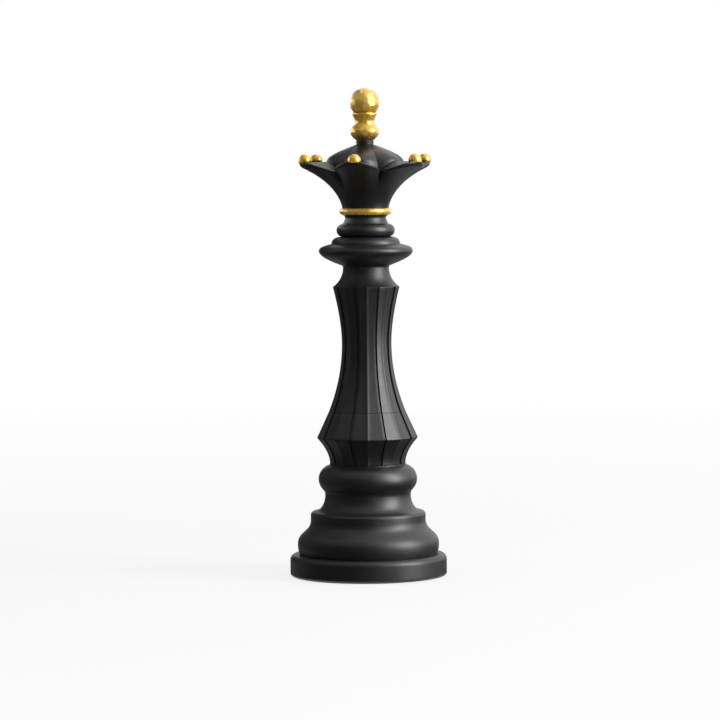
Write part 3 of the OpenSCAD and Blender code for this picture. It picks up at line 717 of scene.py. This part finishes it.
def makeFinialStem():
    s = stemShape
    base = highEdge("finial_washer")
    ballRadius = halfWidth("finial_ball")
    ballMiddle = highEdge("finial_ball") - ballRadius - base
    foot, bulb, waist = (s["foot"], 0), s["bulb"], s["waist"]
    sway = (bulb[1] + waist[1]) / 2
    lipRound = s["lipHeight"] / 2
    lipMiddle = (s["lip"] - lipRound, s["height"] - lipRound)
    lipLine = arcLine(lipMiddle, lipRound, *s["lipArc"], s["lipSteps"])
    flare = lipLine[0]
    swell = mixPoint(foot, (bulb[0], bulb[1] * s["footSwell"][1]), s["footSwell"][0])
    bulbPull = (bulb[0], bulb[1] * s["bulbPull"])
    flarePull = (waist[0], mixValue(waist[1], flare[1], s["flarePull"]))
    line = bezierLine([foot, swell, bulbPull, bulb], s["bulbSteps"])
    line += bezierLine([bulb, (bulb[0], sway), (waist[0], sway), waist], s["swaySteps"])[1:]
    line += bezierLine([waist, flarePull, flare], s["flareSteps"])[1:]
    line += lipLine[1:]
    # the ball sits in a round cup
    cupRadius = ballRadius + s["cupGap"]
    cup = [(r, ballMiddle - math.sqrt(cupRadius ** 2 - r ** 2)) for r in s["cup"]]
    bore = [(s["cup"][-1], s["boreTop"]), (s["bore"], s["boreTop"])]
    line = [(s["bore"], 0)] + line + cup + bore
    piece = turnedPiece("goldFinialStem", [(r, base + z) for r, z in line], s["round"])
    leafUneven(piece, s["depth"], s["grain"], s["seed"])
    finishPiece(piece, "finial", finialGold, "gold", "finial_stem")


ballShape = {"rows": 72, "round": 128, "depth": 0.22, "grain": 0.38, "seed": 8}


def makeFinialBall():
    s = ballShape
    radius = halfWidth("finial_ball")
    middle = highEdge("finial_ball") - radius
    tilts = [math.pi * ((row + 0.5) / s["rows"] - 0.5) for row in range(s["rows"])]
    rings = [turnRing(radius * math.cos(t), middle + radius * math.sin(t), s["round"])
             for t in tilts]
    piece = skinRings("goldFinialBall", rings)
    leafUneven(piece, s["depth"], s["grain"], s["seed"])
    finishPiece(piece, "finial", finialGold, "gold", "finial_ball")


makeNeckRing()
for beadIndex in range(1, crownShape["petals"] + 1):
    makeCrownBead(beadIndex)
makeFinialStem()
makeFinialBall()
print("gold pieces built")


# studio: a pale floor that fades to white, a tall softbox on the right, a small panel behind,
# and dark cloths and light cards around the piece
studio = {"floorSize": 8.0, "floorColour": (0.9, 0.9, 0.9), "fadeStart": 0.25, "fadeEnd": 1.4,
          "keepShadow": 0.18, "ambient": 0.5, "panelAim": (0, 0, 0.14)}


def backgroundRay(tree, spot):
    # 1 for rays that should see the white background
    x, y = spot
    rays = addNode(tree, "ShaderNodeLightPath", spot).outputs
    seen = mathNode(tree, "MAXIMUM", (x + 200, y), rays["Is Camera Ray"], rays["Is Glossy Ray"])
    return mathNode(tree, "MAXIMUM", (x + 400, y), seen, rays["Is Transmission Ray"])


def makeFloor():
    half = studio["floorSize"] / 2 / mm
    corners = [(-half, -half, 0), (half, -half, 0), (half, half, 0), (-half, half, 0)]
    floor = newPiece("studioFloor", corners, [(0, 1, 2, 3)])
    material, tree, shader = newMaterial("paleFloor", Roughness=0.9, Specular_IOR_Level=0.1)
    shader.inputs["Base Color"].default_value = (*studio["floorColour"], 1)
    coords = addNode(tree, "ShaderNodeTexCoord", (-1000, -300))
    length = addNode(tree, "ShaderNodeVectorMath", (-800, -300), operation="LENGTH")
    tree.links.new(coords.outputs["Object"], length.inputs[0])
    far = rangeNode(tree, (-600, -300), length.outputs["Value"], studio["fadeStart"],
                    studio["fadeEnd"], 1 - studio["keepShadow"], 1)
    glow = addNode(tree, "ShaderNodeEmission", (0, -300), {"Color": (1, 1, 1, 1), "Strength": 1})
    blend = addNode(tree, "ShaderNodeMixShader", (300, 0))
    white = mathNode(tree, "MULTIPLY", (-200, -300), far, backgroundRay(tree, (-900, -600)))
    tree.links.new(white, blend.inputs[0])
    tree.links.new(shader.outputs[0], blend.inputs[1])
    tree.links.new(glow.outputs[0], blend.inputs[2])
    tree.links.new(blend.outputs[0], tree.nodes["Material Output"].inputs["Surface"])
    floor.data.materials.append(material)


def makeWorld():
    world = bpy.data.worlds.new("studioWorld")
    world.use_nodes = True
    tree = world.node_tree
    background = tree.nodes["Background"]
    background.inputs["Color"].default_value = (1, 1, 1, 1)
    seen = backgroundRay(tree, (-800, 0))
    strength = rangeNode(tree, (-200, 0), seen, 0, 1, studio["ambient"], 1)
    tree.links.new(strength, background.inputs["Strength"])
    scene.world = world


def aroundPlace(azimuth, distance, height):
    # azimuth 0 is on the camera's side, positive to the right of the picture
    a = math.radians(azimuth)
    return Vector((distance * math.sin(a), -distance * math.cos(a), height))


panels = {
    "rightSoftbox": {"azimuth": 68, "distance": 1.35, "height": 0.6, "size": (0.7, 1.4),
                     "power": 21},
    "topPanel": {"azimuth": 158, "distance": 1.2, "height": 1.3, "size": (0.6, 0.6),
                 "power": 0.8},
}


def addPanel(name, azimuth, distance, height, size, power):
    light = bpy.data.lights.new(name, "AREA")
    light.shape = "RECTANGLE"
    light.size, light.size_y = size
    light.energy = power
    lamp = bpy.data.objects.new(name, light)
    lamp.location = aroundPlace(azimuth, distance, height)
    way = Vector(studio["panelAim"]) - lamp.location
    lamp.rotation_euler = way.to_track_quat("-Z", "Y").to_euler()
    scene.collection.objects.link(lamp)


# reaches and heights of the cloths in metres, and their steps around the piece
clothShape = {"inner": 0.0465, "side": 0.13, "near": 0.35, "radius": 1.9, "low": 0.0006,
              "rail": 0.5, "front": 1.3, "back": 1.5, "roof": (0.6, 2.4),
              "flagFoot": (0.03, 0.2055), "card": 0.5, "cardFoot": 0.208, "cardTop": 0.45,
              "upperTop": 0.8, "steps": 48}


def makeCloth(name, profile, start, end, glow):
    # a cloth or card that only reflections see, as in pictures of black things on white
    count = len(profile)
    points, faces = [], []
    for i in range(clothShape["steps"] + 1):
        azimuth = mixValue(start, end, i / clothShape["steps"])
        points += [tuple(aroundPlace(azimuth, r / mm, z / mm)) for r, z in profile]
        if i:
            old, new = count * (i - 1), count * i
            faces += [(old + k, old + k + 1, new + k + 1, new + k) for k in range(count - 1)]
    cloth = newPiece(name, points, faces)
    material = newMaterial(name, Roughness=1.0, Base_Color=(0, 0, 0, 1),
                           Emission_Color=(1, 1, 1, 1), Emission_Strength=glow)[0]
    cloth.data.materials.append(material)
    cloth.visible_camera = False
    cloth.visible_diffuse = False
    cloth.visible_shadow = False


def tableSpot(reach):
    return (clothShape[reach], clothShape["low"])


def wallSpot(level):
    return (clothShape["radius"], clothShape[level])


def cardSpot(level):
    return (clothShape["card"], clothShape[level])


makeFloor()
makeWorld()
# for each cloth its side line, the azimuths in degrees where it starts and ends, and its glow
cloths = {
    "frontCloth": ([wallSpot("low"), wallSpot("rail")], -100, 24, 0.015),
    "valance": ([wallSpot("rail"), wallSpot("front")], -100, 24, 0.06),
    "topCloth": ([wallSpot("front"), clothShape["roof"]], -100, 24, 0.3),
    "backCloth": ([wallSpot("low"), wallSpot("back"), clothShape["roof"]], -165, -100, 0.06),
    "tableCloth": ([tableSpot("inner"), wallSpot("low")], -70, 130, 0.015),
    "plinthCard": ([tableSpot("inner"), tableSpot("side")], -112, -70, 0.14),
    "sideTable": ([tableSpot("side"), wallSpot("low")], -112, -70, 0.015),
    "nearTable": ([tableSpot("inner"), tableSpot("near")], -155, -112, 0.14),
    "farTable": ([tableSpot("near"), wallSpot("low")], -155, -112, 0.015),
    "backTable": ([tableSpot("inner"), wallSpot("low")], 130, 205, 0.3),
    "leftFlag": ([clothShape["flagFoot"], cardSpot("cardFoot")], -180, -80, 0.04),
    "leftCard": ([cardSpot("cardFoot"), cardSpot("cardTop")], -160, -88, 1.4),
    "upperCard": ([cardSpot("cardTop"), cardSpot("upperTop")], -150, -92, 0.3),
}
for name, cloth in cloths.items():
    makeCloth(name, *cloth)
for name, panel in panels.items():
    addPanel(name, **panel)
print("studio built")


# camera: level with the crown, looking a little down, rolled as the picture is
cameraView = {"height": 0.245, "distance": 2.05, "aimX": -0.0039, "aimZ": 0.1243,
              "frameWidth": 0.4128, "roll": 0.52, "sensor": 36.0, "clipEnd": 50}


def makeCamera():
    s = cameraView
    data = bpy.data.cameras.new("photoCamera")
    data.sensor_width = s["sensor"]
    data.sensor_fit = "HORIZONTAL"
    camera = bpy.data.objects.new("photoCamera", data)
    camera.location = (s["aimX"], -s["distance"], s["height"])
    way = Vector((s["aimX"], 0, s["aimZ"])) - camera.location
    data.lens = s["sensor"] * way.length / s["frameWidth"]
    data.clip_end = s["clipEnd"]
    turn = way.to_track_quat("-Z", "Y").to_matrix()
    roll = math.radians(s["roll"])
    camera.rotation_euler = (turn @ turn.Rotation(-roll, 3, "Z")).to_euler()
    scene.collection.objects.link(camera)
    scene.camera = camera


makeCamera()
scene.view_settings.view_transform = "Standard"
